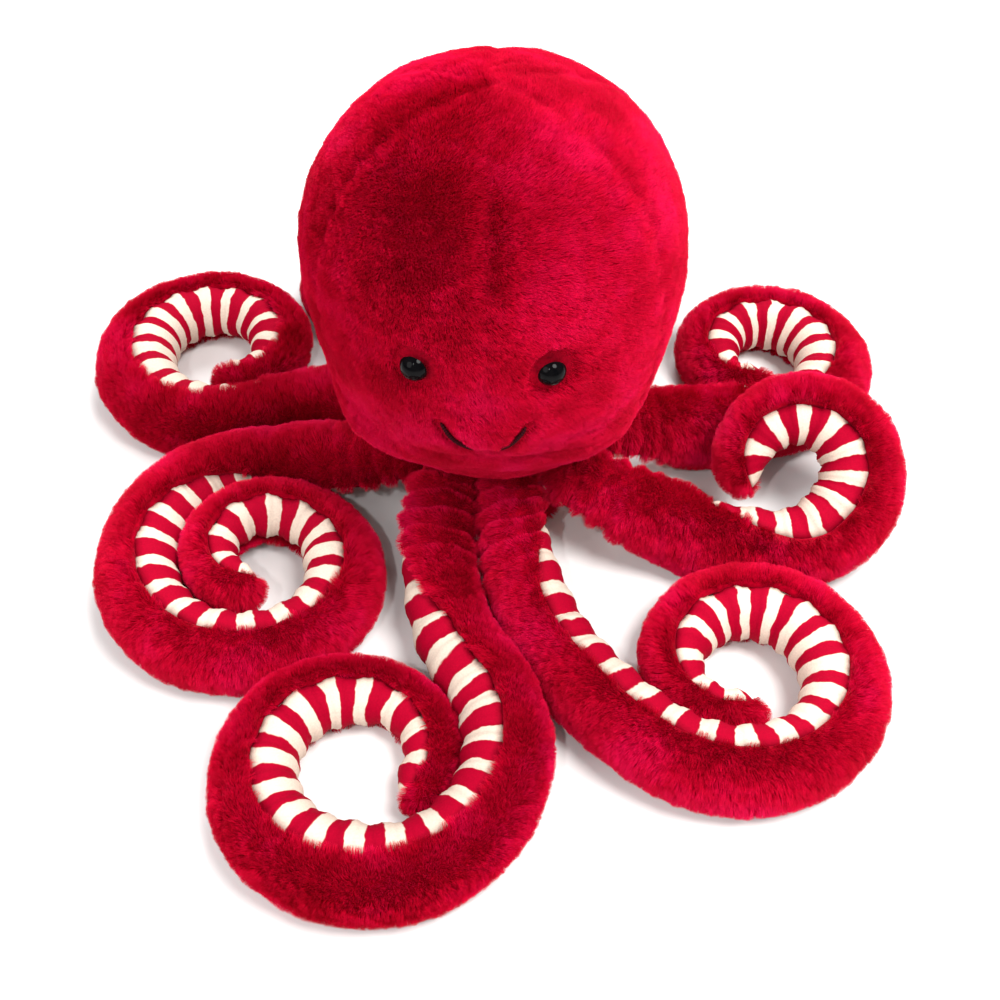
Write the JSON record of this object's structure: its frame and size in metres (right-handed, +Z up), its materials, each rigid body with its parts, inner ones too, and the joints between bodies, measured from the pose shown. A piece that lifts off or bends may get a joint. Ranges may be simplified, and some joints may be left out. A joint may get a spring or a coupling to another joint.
{
  "type": "plush octopus",
  "caption": "Soft toy octopus with an egg-shaped furry head, bead eyes, a stitched smile and stuffed arms with striped undersides that lie coiled on the floor.",
  "frame": {"origin": "centre of the flat panel under the body, on the floor", "axes": "+Z up, the face looks along -Y"},
  "size_m": [0.5322, 0.578, 0.313],
  "materials": {
    "red_fur": "short pile fur",
    "striped_panel": "thin smooth cloth, red and cream cross stripes",
    "stuffing": "loose polyester fibre",
    "eye": "polished",
    "washer": "plain",
    "thread": "embroidery thread",
    "base_cloth": "short pile fur",
    "pellet_cloth": "plain woven cloth"
  },
  "bodies": {
    "body": {"body_fur": "red_fur", "body_stuffing": "stuffing", "neck_stuffing": "stuffing", "base_panel": "base_cloth", "pellet_bag": "pellet_cloth"},
    "head": {"head_panel_1": "red_fur", "head_panel_2": "red_fur", "head_panel_3": "red_fur", "head_panel_4": "red_fur", "head_panel_5": "red_fur", "head_panel_6": "red_fur", "head_stuffing": "stuffing", "left_eye": "eye", "right_eye": "eye", "left_eye_washer": "washer", "right_eye_washer": "washer", "mouth_stitch": "thread"},
    "front_arm": {"front_arm_fur": "red_fur", "front_arm_underside": "striped_panel", "front_arm_stuffing": "stuffing"},
    "left_arm": {"left_arm_fur": "red_fur", "left_arm_underside": "striped_panel", "left_arm_stuffing": "stuffing"},
    "left_rear_arm": {"left_rear_arm_fur": "red_fur", "left_rear_arm_underside": "striped_panel", "left_rear_arm_stuffing": "stuffing"},
    "rear_left_arm": {"rear_left_arm_fur": "red_fur", "rear_left_arm_underside": "striped_panel", "rear_left_arm_stuffing": "stuffing"},
    "rear_right_arm": {"rear_right_arm_fur": "red_fur", "rear_right_arm_underside": "striped_panel", "rear_right_arm_stuffing": "stuffing"},
    "right_rear_arm": {"right_rear_arm_fur": "red_fur", "right_rear_arm_underside": "striped_panel", "right_rear_arm_stuffing": "stuffing"},
    "right_arm": {"right_arm_fur": "red_fur", "right_arm_underside": "striped_panel", "right_arm_stuffing": "stuffing"},
    "front_right_arm": {"front_right_arm_fur": "red_fur", "front_right_arm_underside": "striped_panel", "front_right_arm_stuffing": "stuffing"}
  },
  "joints": [
    {"name": "head_nod", "type": "hinge", "parent": "body", "child": "head", "pos_m": [0, 0, 0.072], "axis": [1, 0, 0], "range_deg": [-10, 6], "stiffness_Nm_per_rad": 2.5, "springref_deg": -2.41},
    {"name": "front_arm_lift", "type": "hinge", "parent": "body", "child": "front_arm", "pos_m": [-0.02696, -0.0385, 0.054], "axis": [-0.8192, 0.5736, 0], "range_deg": [0, 30]},
    {"name": "left_arm_lift", "type": "hinge", "parent": "body", "child": "left_arm", "pos_m": [-0.04629, -0.00816, 0.054], "axis": [-0.1736, 0.9848, 0], "range_deg": [0, 30]},
    {"name": "left_rear_arm_lift", "type": "hinge", "parent": "body", "child": "left_rear_arm", "pos_m": [-0.0385, 0.02696, 0.054], "axis": [0.5736, 0.8192, 0], "range_deg": [0, 30]},
    {"name": "rear_left_arm_lift", "type": "hinge", "parent": "body", "child": "rear_left_arm", "pos_m": [-0.00816, 0.04629, 0.054], "axis": [0.9848, 0.1736, 0], "range_deg": [0, 30]},
    {"name": "rear_right_arm_lift", "type": "hinge", "parent": "body", "child": "rear_right_arm", "pos_m": [0.02696, 0.0385, 0.054], "axis": [0.8192, -0.5736, 0], "range_deg": [0, 30]},
    {"name": "right_rear_arm_lift", "type": "hinge", "parent": "body", "child": "right_rear_arm", "pos_m": [0.04629, 0.00816, 0.054], "axis": [0.1736, -0.9848, 0], "range_deg": [0, 30]},
    {"name": "right_arm_lift", "type": "hinge", "parent": "body", "child": "right_arm", "pos_m": [0.0385, -0.02696, 0.054], "axis": [-0.5736, -0.8192, 0], "range_deg": [0, 30]},
    {"name": "front_right_arm_lift", "type": "hinge", "parent": "body", "child": "front_right_arm", "pos_m": [0.00816, -0.04629, 0.054], "axis": [-0.9848, -0.1736, 0], "range_deg": [0, 30]}
  ]
}
